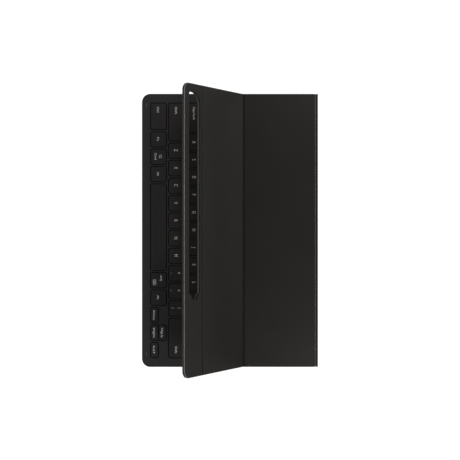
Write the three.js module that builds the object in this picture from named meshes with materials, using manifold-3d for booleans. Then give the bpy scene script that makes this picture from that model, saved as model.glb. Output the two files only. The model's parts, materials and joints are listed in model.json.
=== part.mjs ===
// A slim keyboard case for an 11-inch tablet, in millimetres, +Z up.
// X runs along the key rows from the typist's left to right, and Y runs from the front edge to the spine.
// The origin is the middle of the footprint, on the table. The case stands with its cover half folded:
// the spine is upright, the rear panel hovers one tablet's thickness over the deck,
// and the front panel is raised.

import * as THREE from 'three';
import { mergeVertices } from 'three/addons/utils/BufferGeometryUtils.js';
import Module from 'manifold-3d';

const wasm = await Module();
wasm.setup();

// ---------------------------------------------------------------- driving dimensions

const BASE_WIDTH = 256;
const CASE_DEPTH = 164.2; // front edge to the outside of the spine
const SPINE_THICKNESS = 1.8;
const SPINE_CLEARANCE = 0.6; // between the keyboard's rear wall and the spine
const FRONT_CORNER_RADIUS = 7.8;
const REAR_CORNER_RADIUS = 1;

const SKIN = 0.7; // soft outer sheet under the keyboard and round the spine
const SKIN_CHAMFER = 0.3;
const LINE = 0.1; // glue line or seating gap between stacked layers
const BASE_PLATE = 0.6;
const BASE_PLATE_GAP = 0.3; // between the base plate and the deck's wall
const FILM = 0.2; // membrane circuit, and the web of the dome sheet
const DECK_TOP = 4.8;
const DECK_PLATE = 1.1;
const DECK_WALL = 1.6;
const EDGE_CHAMFER = 0.4; // round the deck's top and the cover's panels
const TABLET_SPACE = 6.5; // deck to the cover's lining

const KEY_UNIT = 16.43;
const ROW_PITCH = 16.865;
const ROW_UNITS = 14.648; // length of every row
const ROW_COUNT = 5.5; // the function row is half as deep as the others
const FUNCTION_KEYS = 14;
const FIRST_ROW_FROM_EDGE = 7.1;
const WEB_AND_GAPS = 1.8; // from the middle of one key's gap, over the web, to the middle of the next gap
const GAP = 0.65; // between a cap and the deck
const CAP_TOP = 5.1;
const CAP_HEIGHT = 1.8;
const CAP_CHAMFER = 0.35;
// Link under the deck that joins the caps of one row.
const CARRIER = { thickness: 0.25, halfDepth: 2, inset: 1 };
const DOME = { height: 1.2, bottomRadius: 2.6, topRadius: 1.7, sides: 6 };

const COVER_LENGTH = 253.4;
const COVER_THICKNESS = 2.4;
const COVER_SKIN = 0.6;
const COVER_RIM = 0.9; // width of the skin where it turns down round the board
const LINING = 0.5;
const FOLD_Y = 12.94; // main fold line
const FOLD_ANGLE = 57; // how far the front panel is raised from flat, in degrees
const CREASE_HALF = 1.2; // from a fold's axis to the end of the panel beside it
const CREASE_CORD = 0.55; // radius of the flexible strip on a fold's axis
const FLAP_FOLD_U = 66.9; // u is measured on the front panel from the main fold to its free edge
const FREE_EDGE_U = 94.1;
const FREE_CORNER_RADIUS = 7;
const CREASE_CORNER_RADIUS = 0.6; // at the panel corners beside a fold
const PANEL_STEPS = 4; // facets in each panel corner

const SLOT = {
  inner: 70.8, outer: 87.2, // in u
  start: -119.9, shoulder: 53.6, throat: 56.4, tip: 60.1, // in x
  startRadiusInner: 11, startRadiusOuter: 3.2,
  throatInset: 3.4, tipInset: 4.7,
};
const SLOT_COLLAR = 0.8;
const MAGNET_STRIP = { half: 75, u0: 30, u1: 40, gap: 0.4 };

const HINGE_INSET = 1; // from the outside of the spine to both of its fold axes
const LOWER_HINGE_Z = 0.65;
const UPPER_HINGE_DROP = 0.8; // from the top of the cover
const SPINE_BOARD_INSET = { ends: 1, edges: 0.2 };

// y is measured from the dock line, which the tablet's lower edge stands on.
const DOCK_Y = 21.9;
const DOCK_RIDGE = { half: 118, y0: 2.7, y1: 4.9 };
const DOCK_MAGNET = { x: 70, half: 20, halfDepth: 2 };
const POGO_HOUSING = { half: 10, halfDepth: 1.8, bottom: 2.2, clearance: 0.3 };
const POGO_PIN = { spacing: 5, radius: 0.6, bore: 0.7, bottom: 3.2, proud: 0.45, sides: 8 };
const BUMPER = { left: -117.2, right: 115, half: 2.1, fromEdge: 3.7, depth: 1.1 };
const PROUD = 0.5; // top of the dock ridge and the bumpers above the deck

// The space bar's stabiliser: a wire whose long side turns in hooks on the base,
// and whose arms hold the cap level.
const STABILISER = { wire: 0.5, arm: 7, half: 30, fromRear: 3.5, z: 2.35, degrees: 4.9 };
const STABILISER_WINDOW = 0.8; // clearance round its arms in the films
const STABILISER_GROOVE = { side: 0.45, depth: 0.7 }; // room for it in the underside of the space bar

const CONTROLLER = { x0: 24, x1: 78, y0: 40, y1: 62, thickness: 0.8 };
const CHIPS = [
  { x0: 30, x1: 37, y0: 46, y1: 53, height: 0.9 }, // processor
  { x0: 50, x1: 62, y0: 41, y1: 44, height: 0.8 }, // film connector
  { x0: 66, x1: 74, y0: 52, y1: 58, height: 0.7 }, // power regulator
];
const FLEX = { x0: 50.5, x1: 61.5, gap: 0.3 };

// ---------------------------------------------------------------- derived places

const FRONT_Y = -CASE_DEPTH / 2;
const SPINE_OUTSIDE = CASE_DEPTH / 2;
const BASE_REAR = SPINE_OUTSIDE - SPINE_THICKNESS - SPINE_CLEARANCE;
const BASE_HALF = BASE_WIDTH / 2;
const COVER_HALF = COVER_LENGTH / 2;

const BASE_PLATE_Z = SKIN + LINE;
const MEMBRANE_Z = BASE_PLATE_Z + BASE_PLATE + LINE;
const DOMES_Z = MEMBRANE_Z + FILM + LINE;
const DECK_PLATE_Z = DECK_TOP - DECK_PLATE;
const CAP_Z = CAP_TOP - CAP_HEIGHT;
const LINING_Z = DECK_TOP + TABLET_SPACE;
const COVER_TOP = LINING_Z + COVER_THICKNESS;

const HINGE_Y = SPINE_OUTSIDE - HINGE_INSET;
const UPPER_HINGE_Z = COVER_TOP - UPPER_HINGE_DROP;
const FOLD_Z = COVER_TOP + LINE;

// ---------------------------------------------------------------- colours

const paint = (color, roughness, metalness = 0) => (
  new THREE.MeshStandardMaterial({ color, roughness, metalness })
);
const LOOK = {
  leather: paint(0x2b2a2b, 0.55),
  deck: paint(0x262627, 0.6),
  key: paint(0x1f1f20, 0.55),
  lining: paint(0x303033, 0.95),
  board: paint(0x8a8a80, 0.8),
  steel: paint(0xb4b6b8, 0.35, 1),
  film: paint(0x9fb7a8, 0.4),
  silicone: paint(0x2c2c2e, 0.75),
  circuit: paint(0x1c5a38, 0.5),
  gold: paint(0xd2a646, 0.3, 1),
  magnet: paint(0x9a9a9e, 0.4, 1),
  rubber: paint(0x4a4a4c, 0.85),
};

// ---------------------------------------------------------------- geometry helpers

// Points on an arc, both ends included.
function arc(cx, cy, radius, fromDegrees, toDegrees, steps) {
  return Array.from({ length: steps + 1 }, (_, i) => {
    const a = THREE.MathUtils.degToRad(fromDegrees + ((toDegrees - fromDegrees) * i) / steps);
    return [cx + radius * Math.cos(a), cy + radius * Math.sin(a)];
  });
}

// Anticlockwise rectangle with its own radius at each corner: front left, front right, rear right, rear left.
function roundedOutline({ x0, y0, x1, y1, radii, steps = 6 }, inset = 0) {
  const [a, b, c, d] = radii.map((r) => Math.max(r - inset, 0.05));
  const [l, f, r, t] = [x0 + inset, y0 + inset, x1 - inset, y1 - inset];
  return [
    ...arc(l + a, f + a, a, 180, 270, steps),
    ...arc(r - b, f + b, b, 270, 360, steps),
    ...arc(r - c, t - c, c, 0, 90, steps),
    ...arc(l + d, t - d, d, 90, 180, steps),
  ];
}

const rectangle = ({ x0, y0, x1, y1 }, inset = 0) => [
  [x0 + inset, y0 + inset], [x1 - inset, y0 + inset], [x1 - inset, y1 - inset], [x0 + inset, y1 - inset],
];

// Closed body through a list of outlines with equal point counts, capped at both ends.
function loft(rings) {
  const count = rings[0].outline.length;
  const positions = rings.flatMap(({ outline, z }) => outline.flatMap(([x, y]) => [x, y, z]));
  const faces = [];
  for (let ring = 0; ring + 1 < rings.length; ring++) {
    for (let k = 0; k < count; k++) {
      const [p, q] = [ring * count + k, ring * count + ((k + 1) % count)];
      faces.push(p, q, q + count, p, q + count, p + count);
    }
  }
  const points = (outline) => outline.map(([x, y]) => new THREE.Vector2(x, y));
  const cap = (outline) => THREE.ShapeUtils.triangulateShape(points(outline), []);
  const last = (rings.length - 1) * count;
  for (const [i, j, k] of cap(rings[0].outline)) faces.push(i, k, j);
  for (const [i, j, k] of cap(rings.at(-1).outline)) faces.push(last + i, last + j, last + k);
  const geometry = new THREE.BufferGeometry();
  geometry.setAttribute('position', new THREE.Float32BufferAttribute(positions, 3));
  geometry.setIndex(faces);
  return geometry;
}

// Flat plate with an optional chamfer round its bottom or top edge.
function plate(area, z0, z1, { bottomChamfer = 0, topChamfer = 0, inset = 0 } = {}) {
  const ring = (z, extra) => ({ outline: roundedOutline(area, inset + extra), z });
  const rings = [ring(z0 + bottomChamfer, 0), ring(z1 - topChamfer, 0)];
  if (bottomChamfer) rings.unshift(ring(z0, bottomChamfer));
  if (topChamfer) rings.push(ring(z1, topChamfer));
  return loft(rings);
}

// Skin of a cover panel: flat on top, turned down all round, open underneath.
function tray(area, z0, z1) {
  const ring = (z, inset) => ({ outline: roundedOutline(area, inset), z });
  return loft([
    ring(z1 - COVER_SKIN, COVER_RIM), ring(z0, COVER_RIM), ring(z0, 0),
    ring(z1 - EDGE_CHAMFER, 0), ring(z1, EDGE_CHAMFER),
  ]);
}

// Straight extrusion of an outline between two heights.
function extrude(outline, z0, z1) {
  const shape = new THREE.Shape(outline.map(([x, y]) => new THREE.Vector2(x, y)));
  const geometry = new THREE.ExtrudeGeometry(shape, { depth: z1 - z0, bevelEnabled: false });
  return geometry.translate(0, 0, z0);
}

function block(x0, x1, y0, y1, z0, z1) {
  const geometry = new THREE.BoxGeometry(x1 - x0, y1 - y0, z1 - z0);
  return geometry.translate((x0 + x1) / 2, (y0 + y1) / 2, (z0 + z1) / 2);
}

// Upright cylinder or cone frustum.
function post(x, y, z0, z1, bottomRadius, topRadius, sides) {
  const geometry = new THREE.CylinderGeometry(topRadius, bottomRadius, z1 - z0, sides);
  return geometry.rotateX(Math.PI / 2).translate(x, y, (z0 + z1) / 2);
}

// Bar along X with its centre at y, z.
function cord(length, y, z) {
  const geometry = new THREE.CylinderGeometry(CREASE_CORD, CREASE_CORD, length, 8);
  return geometry.rotateZ(Math.PI / 2).translate(0, y, z);
}

// The geometry's vertices with each place listed once, and its triangles by number.
function weld(geometry) {
  const bare = geometry.clone();
  bare.deleteAttribute('normal');
  bare.deleteAttribute('uv');
  return mergeVertices(bare, 1e-4);
}

function toSolid(geometry) {
  const { attributes, index } = weld(geometry);
  return new wasm.Manifold(new wasm.Mesh({
    numProp: 3,
    vertProperties: new Float32Array(attributes.position.array),
    triVerts: new Uint32Array(index.array),
  }));
}

function toGeometry(solid) {
  const { vertProperties, triVerts } = solid.getMesh();
  const geometry = new THREE.BufferGeometry();
  geometry.setAttribute('position', new THREE.BufferAttribute(vertProperties, 3));
  geometry.setIndex(new THREE.BufferAttribute(triVerts, 1));
  return geometry;
}

const joined = (geometries) => toGeometry(geometries.map(toSolid).reduce((a, b) => a.add(b)));

// The geometry with each outline cut straight through it.
function pierced(geometry, outlines, z0, z1) {
  const cuts = outlines.map((outline) => toSolid(extrude(outline, z0 - 1, z1 + 1)));
  return toGeometry(toSolid(geometry).subtract(cuts.reduce((a, b) => a.add(b))));
}

const perforated = (outline, holes, z0, z1) => pierced(extrude(outline, z0, z1), holes, z0, z1);

function piece(parent, name, look, geometry) {
  geometry.computeVertexNormals();
  const mesh = new THREE.Mesh(geometry, LOOK[look]);
  mesh.name = name;
  parent.add(mesh);
}

// ---------------------------------------------------------------- key layout

const letters = (names) => [...names].map((name) => [name, 1]);
const ROWS = [
  {
    keys: [
      ['ctrl', 1.64], ['fn', 0.991], ['cmd', 0.991], ['alt_left', 0.991], ['space', 5.05], ['lang', 0.997],
      ['alt_right', 0.997], ['arrow_left', 0.997], ['arrow_up_down', 0.997], ['arrow_right', 0.997],
    ],
  },
  {
    keys: [
      ['shift_left', 2.276], ...letters('zxcvbnm'), ['comma', 1], ['period', 1], ['slash', 1],
      ['shift_right', 2.372],
    ],
  },
  { name: 'keys_home_row', keys: [['caps_lock', 1.815], ...letters('asdfghjkl;\''), ['enter', 1.833]] },
  { name: 'keys_upper_row', keys: [['tab', 1.4], ...letters('qwertyuiop[]'), ['backslash', 1.248]] },
  { name: 'keys_number_row', keys: [...letters('`1234567890-='), ['backspace', 1.648]] },
  {
    name: 'keys_function_row', half: true,
    keys: Array.from({ length: FUNCTION_KEYS }, (_, i) => [`f${i}`, ROW_UNITS / FUNCTION_KEYS]),
  },
];

// Rectangle of one key, measured to the middle of the gap round it.
function keyArea(start, units, y0, height) {
  const side = WEB_AND_GAPS / 2;
  return { x0: start + side, x1: start + units * KEY_UNIT - side, y0: y0 + side, y1: y0 + height - side };
}

const shrink = ({ x0, x1, y0, y1 }, by) => ({ x0: x0 + by, x1: x1 - by, y0: y0 + by, y1: y1 - by });

// Every key's cap, and every opening in the deck. The arrow keys are half as deep as the others:
// left and right lie in the front half of the row, and up and down share one opening.
function layOutKeys() {
  const keys = [];
  const openings = [];
  ROWS.forEach(({ name: rowName, half, keys: rowKeys }, row) => {
    const y0 = FRONT_Y + FIRST_ROW_FROM_EDGE + row * ROW_PITCH;
    let x = (-ROW_UNITS * KEY_UNIT) / 2;
    for (const [name, units] of rowKeys) {
      const area = keyArea(x, units, y0, half ? ROW_PITCH / 2 : ROW_PITCH);
      const middle = (area.y0 + area.y1) / 2;
      const front = { ...area, y1: middle };
      const rear = { ...area, y0: middle };
      const add = (keyName, where) => {
        keys.push({ rowName, name: keyName, area: where, cap: shrink(where, GAP / 2) });
      };
      if (name === 'arrow_up_down') {
        add('arrow_down', front);
        add('arrow_up', rear);
      } else {
        add(name, name.startsWith('arrow') ? front : area);
      }
      const single = name === 'arrow_left' || name === 'arrow_right';
      openings.push(shrink(single ? front : area, -GAP / 2));
      x += units * KEY_UNIT;
    }
  });
  return { keys, openings };
}

const { keys: KEYS, openings: OPENINGS } = layOutKeys();
const SPACE_BAR = KEYS.find(({ name }) => name === 'space').cap;
const STABILISER_X = (SPACE_BAR.x0 + SPACE_BAR.x1) / 2;
const STABILISER_Y = SPACE_BAR.y1 - STABILISER.fromRear;

function keyCap(cap) {
  return loft([
    { outline: rectangle(cap), z: CAP_Z },
    { outline: rectangle(cap), z: CAP_TOP - CAP_CHAMFER },
    { outline: rectangle(cap, CAP_CHAMFER), z: CAP_TOP },
  ]);
}

// ---------------------------------------------------------------- keyboard

const BASE_AREA = {
  x0: -BASE_HALF, x1: BASE_HALF, y0: FRONT_Y, y1: BASE_REAR,
  radii: [FRONT_CORNER_RADIUS, FRONT_CORNER_RADIUS, REAR_CORNER_RADIUS, REAR_CORNER_RADIUS],
};
const FILM_AREA = {
  x0: -KEY_UNIT * ROW_UNITS / 2, x1: KEY_UNIT * ROW_UNITS / 2,
  y0: FRONT_Y + FIRST_ROW_FROM_EDGE, y1: FRONT_Y + FIRST_ROW_FROM_EDGE + ROW_COUNT * ROW_PITCH,
};

// Windows in the films where the stabiliser's arms swing down.
function armWindows() {
  const margin = STABILISER_WINDOW;
  const [y0, y1] = [STABILISER_Y - STABILISER.arm - margin, STABILISER_Y - margin];
  return [-1, 1].map((side) => {
    const x = STABILISER_X + side * STABILISER.half;
    return rectangle({ x0: x - margin, x1: x + margin, y0, y1 });
  });
}

function deckGeometry() {
  const holes = OPENINGS.map((opening) => rectangle(opening));
  const { half, halfDepth, clearance } = POGO_HOUSING;
  holes.push(rectangle({ x0: -half, x1: half, y0: DOCK_Y - halfDepth, y1: DOCK_Y + halfDepth }, -clearance));
  const outline = roundedOutline(BASE_AREA);
  const top = perforated(outline, holes, DECK_PLATE_Z, DECK_TOP);
  const wall = perforated(outline, [roundedOutline(BASE_AREA, DECK_WALL)], BASE_PLATE_Z, DECK_PLATE_Z + LINE);
  const envelope = plate(BASE_AREA, BASE_PLATE_Z, DECK_TOP, { topChamfer: EDGE_CHAMFER });
  return toGeometry(toSolid(top).add(toSolid(wall)).intersect(toSolid(envelope)));
}

function domeSheetGeometry() {
  const web = perforated(rectangle(FILM_AREA), armWindows(), DOMES_Z, DOMES_Z + FILM);
  const { height, bottomRadius, topRadius, sides } = DOME;
  const domes = KEYS.map(({ area }) => {
    const [x, y] = [(area.x0 + area.x1) / 2, (area.y0 + area.y1) / 2];
    return post(x, y, DOMES_Z + FILM / 2, DOMES_Z + FILM + height, bottomRadius, topRadius, sides);
  });
  return joined([web, ...domes]);
}

function controllerGeometry() {
  const { x0, x1, y0, y1, thickness } = CONTROLLER;
  const top = MEMBRANE_Z + thickness;
  const chips = CHIPS.map((chip) => block(chip.x0, chip.x1, chip.y0, chip.y1, top - LINE, top + chip.height));
  return joined([block(x0, x1, y0, y1, MEMBRANE_Z, top), ...chips]);
}

function flexGeometry() {
  const outline = rectangle({ ...FLEX, y0: FILM_AREA.y1 + FLEX.gap, y1: CONTROLLER.y0 - FLEX.gap });
  return extrude(outline, MEMBRANE_Z, MEMBRANE_Z + FILM);
}

function pogoHousingGeometry() {
  const { half, halfDepth, bottom } = POGO_HOUSING;
  const { spacing, bore, sides } = POGO_PIN;
  const body = toSolid(block(-half, half, DOCK_Y - halfDepth, DOCK_Y + halfDepth, bottom, DECK_TOP - LINE));
  const drill = (x) => toSolid(post(x, DOCK_Y, bottom - 1, DECK_TOP + 1, bore, bore, sides));
  return toGeometry([-spacing, 0, spacing].reduce((rest, x) => rest.subtract(drill(x)), body));
}

// Long bar and two arms, with its axis on X: the wire itself, or the room left round it.
function stabiliserShape(reach, z0, z1) {
  const { arm, half } = STABILISER;
  return joined([
    block(-half - reach, half + reach, -reach, reach, z0, z1),
    block(-half - reach, -half + reach, -arm - reach, 0, z0, z1),
    block(half - reach, half + reach, -arm - reach, 0, z0, z1),
  ]);
}

function spaceBarGeometry() {
  const { side, depth } = STABILISER_GROOVE;
  const groove = stabiliserShape(STABILISER.wire / 2 + side, CAP_Z - 1, CAP_Z + depth);
  groove.translate(STABILISER_X, STABILISER_Y, 0);
  return toGeometry(toSolid(keyCap(SPACE_BAR)).subtract(toSolid(groove)));
}

function addKeyboard(model) {
  piece(model, 'keyboard_bottom_skin', 'leather', plate(BASE_AREA, 0, SKIN, { bottomChamfer: SKIN_CHAMFER }));
  piece(model, 'keyboard_base_plate', 'steel',
    plate(BASE_AREA, BASE_PLATE_Z, BASE_PLATE_Z + BASE_PLATE, { inset: DECK_WALL + BASE_PLATE_GAP }));
  piece(model, 'membrane_circuit', 'film',
    perforated(rectangle(FILM_AREA), armWindows(), MEMBRANE_Z, MEMBRANE_Z + FILM));
  piece(model, 'dome_sheet', 'silicone', domeSheetGeometry());
  piece(model, 'keyboard_deck', 'deck', deckGeometry());
  piece(model, 'controller_board', 'circuit', controllerGeometry());
  piece(model, 'flex_cable', 'film', flexGeometry());

  const [onDeck, proud] = [DECK_TOP + LINE, DECK_TOP + PROUD];
  const { half, y0, y1 } = DOCK_RIDGE;
  piece(model, 'dock_ridge', 'deck', block(-half, half, DOCK_Y + y0, DOCK_Y + y1, onDeck, proud));
  for (const side of ['left', 'right']) {
    const [x, y] = [BUMPER[side], FRONT_Y + BUMPER.fromEdge];
    piece(model, `bumper_${side}`, 'rubber',
      block(x - BUMPER.half, x + BUMPER.half, y, y + BUMPER.depth, onDeck, proud));
  }

  const stabiliser = new THREE.Group();
  stabiliser.position.set(STABILISER_X, STABILISER_Y, STABILISER.z);
  stabiliser.rotation.x = -THREE.MathUtils.degToRad(STABILISER.degrees);
  const reach = STABILISER.wire / 2;
  piece(stabiliser, 'space_stabiliser', 'steel', stabiliserShape(reach, -reach, reach));
  model.add(stabiliser);
}

// Magnets that hold the tablet on the deck, and the sprung contacts that power the keyboard from it.
function addDock(model) {
  piece(model, 'pogo_housing', 'key', pogoHousingGeometry());
  const { spacing, radius, bottom, proud, sides } = POGO_PIN;
  ['left', 'centre', 'right'].forEach((side, i) => {
    piece(model, `pogo_pin_${side}`, 'gold',
      post((i - 1) * spacing, DOCK_Y, bottom, DECK_TOP + proud, radius, radius, sides));
  });
  const { half, halfDepth } = DOCK_MAGNET;
  for (const [side, x] of [['left', -DOCK_MAGNET.x], ['right', DOCK_MAGNET.x]]) {
    piece(model, `dock_magnet_${side}`, 'magnet',
      block(x - half, x + half, DOCK_Y - halfDepth, DOCK_Y + halfDepth, DOMES_Z + LINE, DECK_PLATE_Z - LINE));
  }
}

// The two front rows have a cap each. In the rows behind, one thin carrier under the deck joins a row's caps.
function addKeys(model) {
  for (const { rowName, name, cap } of KEYS) {
    if (!rowName) piece(model, `key_${name}`, 'key', name === 'space' ? spaceBarGeometry() : keyCap(cap));
  }
  for (const { name: rowName } of ROWS.filter(({ name }) => name)) {
    const caps = KEYS.filter((key) => key.rowName === rowName).map(({ cap }) => cap);
    const [first, last] = [caps[0], caps.at(-1)];
    const middle = (first.y0 + first.y1) / 2;
    const [y0, y1] = [middle - CARRIER.halfDepth, middle + CARRIER.halfDepth];
    const [x0, x1] = [first.x0 + CARRIER.inset, last.x1 - CARRIER.inset];
    const carrier = block(x0, x1, y0, y1, CAP_Z, CAP_Z + CARRIER.thickness);
    piece(model, rowName, 'key', joined([carrier, ...caps.map(keyCap)]));
  }
}

// ---------------------------------------------------------------- cover

// Panel area on the raised front panel, whose local y is minus u.
const panelArea = (u0, u1, radii) => ({
  x0: -COVER_HALF, x1: COVER_HALF, y0: -u1, y1: -u0, radii, steps: PANEL_STEPS,
});

function slotOutline(grow) {
  const { shoulder, throat, tip, throatInset, tipInset } = SLOT;
  const [near, far] = [-SLOT.inner + grow, -SLOT.outer - grow];
  const [x0, rNear, rFar] = [SLOT.start - grow, SLOT.startRadiusInner + grow, SLOT.startRadiusOuter + grow];
  return [
    ...arc(x0 + rFar, far + rFar, rFar, 180, 270, 5),
    [shoulder, far], [throat + grow / 2, far + throatInset], [tip + grow, far + tipInset],
    [tip + grow, near - tipInset], [throat + grow / 2, near - throatInset], [shoulder, near],
    ...arc(x0 + rNear, near - rNear, rNear, 90, 180, 8),
  ];
}

function boardHeights(bottom) {
  const z0 = bottom + LINING + LINE;
  return [z0, bottom + COVER_THICKNESS - COVER_SKIN - LINE];
}

function addRearPanel(model) {
  const area = {
    x0: -COVER_HALF, x1: COVER_HALF, y0: FOLD_Y + CREASE_HALF, y1: HINGE_Y - CREASE_HALF,
    radii: [CREASE_CORNER_RADIUS, CREASE_CORNER_RADIUS, REAR_CORNER_RADIUS, REAR_CORNER_RADIUS],
    steps: PANEL_STEPS,
  };
  const inset = COVER_RIM + LINE;
  piece(model, 'rear_panel_skin', 'leather', tray(area, LINING_Z, COVER_TOP));
  piece(model, 'rear_panel_board', 'board', plate(area, ...boardHeights(LINING_Z), { inset }));
  piece(model, 'rear_panel_lining', 'lining', plate(area, LINING_Z, LINING_Z + LINING, { inset }));
}

function addFrontPanel(raised, bottom) {
  const area = panelArea(CREASE_HALF, FLAP_FOLD_U - CREASE_HALF, Array(4).fill(CREASE_CORNER_RADIUS));
  const inset = COVER_RIM + LINE;
  const { half, u0, u1, gap } = MAGNET_STRIP;
  const magnet = { x0: -half, x1: half, y0: -u1, y1: -u0 };
  const [z0, z1] = boardHeights(bottom);
  piece(raised, 'front_panel_skin', 'leather', tray(area, bottom, bottom + COVER_THICKNESS));
  piece(raised, 'front_panel_board', 'board',
    perforated(roundedOutline(area, inset), [rectangle(magnet, -gap)], z0, z1));
  piece(raised, 'front_panel_magnet_strip', 'magnet', extrude(rectangle(magnet), z0, z1));
  piece(raised, 'front_panel_lining', 'lining', plate(area, bottom, bottom + LINING, { inset }));
}

function addPenFlap(raised, bottom) {
  const radii = [FREE_CORNER_RADIUS, FREE_CORNER_RADIUS, CREASE_CORNER_RADIUS, CREASE_CORNER_RADIUS];
  const area = panelArea(FLAP_FOLD_U + CREASE_HALF, FREE_EDGE_U, radii);
  const inset = COVER_RIM + LINE;
  const top = bottom + COVER_THICKNESS;
  const collar = extrude(slotOutline(SLOT_COLLAR), bottom, top - LINE);
  const skin = joined([tray(area, bottom, top), collar]);
  const opening = slotOutline(SLOT_COLLAR + LINE);
  piece(raised, 'pen_flap_skin', 'leather', pierced(skin, [slotOutline(0)], bottom, top));
  piece(raised, 'pen_flap_board', 'board',
    perforated(roundedOutline(area, inset), [opening], ...boardHeights(bottom)));
  piece(raised, 'pen_flap_lining', 'lining',
    perforated(roundedOutline(area, inset), [opening], bottom, bottom + LINING));
}

function addSpine(model) {
  const [inside, skinInside] = [SPINE_OUTSIDE - SPINE_THICKNESS, SPINE_OUTSIDE - SKIN];
  const [z0, z1] = [LOWER_HINGE_Z + CREASE_HALF, UPPER_HINGE_Z - CREASE_HALF];
  piece(model, 'spine_skin', 'leather', block(-COVER_HALF, COVER_HALF, skinInside, SPINE_OUTSIDE, z0, z1));
  const { ends, edges } = SPINE_BOARD_INSET;
  piece(model, 'spine_board', 'board',
    block(-COVER_HALF + ends, COVER_HALF - ends, inside, skinInside - LINE, z0 + edges, z1 - edges));
}

function addCover(model) {
  const raised = new THREE.Group();
  raised.position.set(0, FOLD_Y, FOLD_Z);
  raised.rotation.x = -THREE.MathUtils.degToRad(FOLD_ANGLE);
  const bottom = -LINE - COVER_THICKNESS;
  addSpine(model);
  addRearPanel(model);
  addFrontPanel(raised, bottom);
  addPenFlap(raised, bottom);
  piece(model, 'spine_lower_crease', 'leather', cord(COVER_LENGTH, HINGE_Y, LOWER_HINGE_Z));
  piece(model, 'spine_upper_crease', 'leather', cord(COVER_LENGTH, HINGE_Y, UPPER_HINGE_Z));
  piece(model, 'main_crease', 'leather', cord(COVER_LENGTH, FOLD_Y, FOLD_Z));
  piece(raised, 'flap_crease', 'leather', cord(COVER_LENGTH, -FLAP_FOLD_U, 0));
  model.add(raised);
}

// ---------------------------------------------------------------- the case

const tabletKeyboardCase = new THREE.Group();
addKeyboard(tabletKeyboardCase);
addDock(tabletKeyboardCase);
addKeys(tabletKeyboardCase);
addCover(tabletKeyboardCase);

export default tabletKeyboardCase;
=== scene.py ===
"""A slim tablet keyboard case with its cover half folded, seen from straight above.

Places and sizes are in millimetres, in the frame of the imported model, until a mesh is made.
"""

import json
import math

import bpy
from mathutils import Matrix, Vector


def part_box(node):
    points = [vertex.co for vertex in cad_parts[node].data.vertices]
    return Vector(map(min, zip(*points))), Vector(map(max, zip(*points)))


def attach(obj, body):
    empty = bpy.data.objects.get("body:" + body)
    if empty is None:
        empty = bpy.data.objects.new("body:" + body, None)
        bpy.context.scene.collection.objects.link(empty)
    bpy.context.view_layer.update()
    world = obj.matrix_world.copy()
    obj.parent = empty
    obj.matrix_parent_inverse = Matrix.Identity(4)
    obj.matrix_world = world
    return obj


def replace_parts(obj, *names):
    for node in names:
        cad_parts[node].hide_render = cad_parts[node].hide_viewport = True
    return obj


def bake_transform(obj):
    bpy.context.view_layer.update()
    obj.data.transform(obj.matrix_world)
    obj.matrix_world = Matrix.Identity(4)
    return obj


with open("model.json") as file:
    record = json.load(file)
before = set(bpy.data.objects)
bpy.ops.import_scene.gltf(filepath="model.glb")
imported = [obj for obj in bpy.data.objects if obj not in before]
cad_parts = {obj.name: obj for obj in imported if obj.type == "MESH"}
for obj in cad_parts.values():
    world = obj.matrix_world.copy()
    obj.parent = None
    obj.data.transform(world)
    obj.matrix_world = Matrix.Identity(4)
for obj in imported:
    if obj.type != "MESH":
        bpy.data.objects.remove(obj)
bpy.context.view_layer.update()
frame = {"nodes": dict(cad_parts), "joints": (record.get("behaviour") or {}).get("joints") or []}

# ---------------------------------------------------------------- sizes

MM = 0.001
JOINTS = {joint["name"]: joint for joint in frame["joints"]}

GAP = 0.65  # between a cap's place and the edge of its opening
CAP_PLAY = 0.08  # how far a cap's moulded side stands inside its place
OPENING_CHAMFER = 0.12
CAP_RADIUS = 1.7
CAP_SPLIT_RADIUS = 0.25  # where the up and down arrow caps face each other
CAP_ROUND = 0.3
CAP_WALL = 0.9
DOME_ROOM = 2.5  # from the middle of a cap to its wall, so that it can come down round its rubber dome
CAP_TOP_WALL = 0.65
CAP_DISH = 0.05

DECK_WALL = 1.6
DECK_PLATE = 1.1
FRONT_CORNER_RADIUS = 7.8
REAR_CORNER_RADIUS = 1.0
SOFT_EDGE = 0.35  # rounding of the moulded deck and of the skin under it

PANEL_ROUND = 0.5  # rounding of the cover's outer edges
PANEL_UNDER_ROUND = 0.25
FOLD_ROUND = (0.25, 0.1)  # rounding at the ends of the spine's folds, outside and inside
SQUARE = 0.1  # corner radius at a panel's end that runs on into a fold
COVER_SKIN = 0.6
COVER_RIM = 0.9
LINING = 0.5
FREE_CORNER_RADIUS = 7.0
CREASE_SHEET = 0.9  # leather and lining bonded together at a fold
# shade is how much painted shade darkens the middle of a groove, from 0 to 1
MAIN_GROOVE = {"half": 0.4, "depth": 0.3, "shade": 0.4}
FLAP_GROOVE = {"half": 0.6, "depth": 0.3, "shade": 0.75}
GROOVE_FLARE = 0.15  # how far a groove's slope runs out past its middle, which has painted shade

SLOT = {
    "inner": 70.8, "outer": 87.2,
    "start": -119.9, "shoulder": 53.6, "throat": 56.4, "tip": 60.1,
    "start_radius_inner": 11.0, "start_radius_outer": 3.2,
    "throat_inset": 3.4, "tip_inset": 4.7,
}
SLOT_COLLAR = 0.8
COLLAR_LEDGE = 0.45  # how far the collar stands into the opening
COLLAR_DEPTH = 1.25  # from the outer face down to the collar
CUT_SHADE = 0.45  # painted shade on the leather's cut edge in the opening, from 0 to 1
PIN_PLAY = 0.1
HOUSING_PLAY = 0.3
BOARD_THICKNESS = 0.82  # of the controller board, below the parts on it

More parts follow.
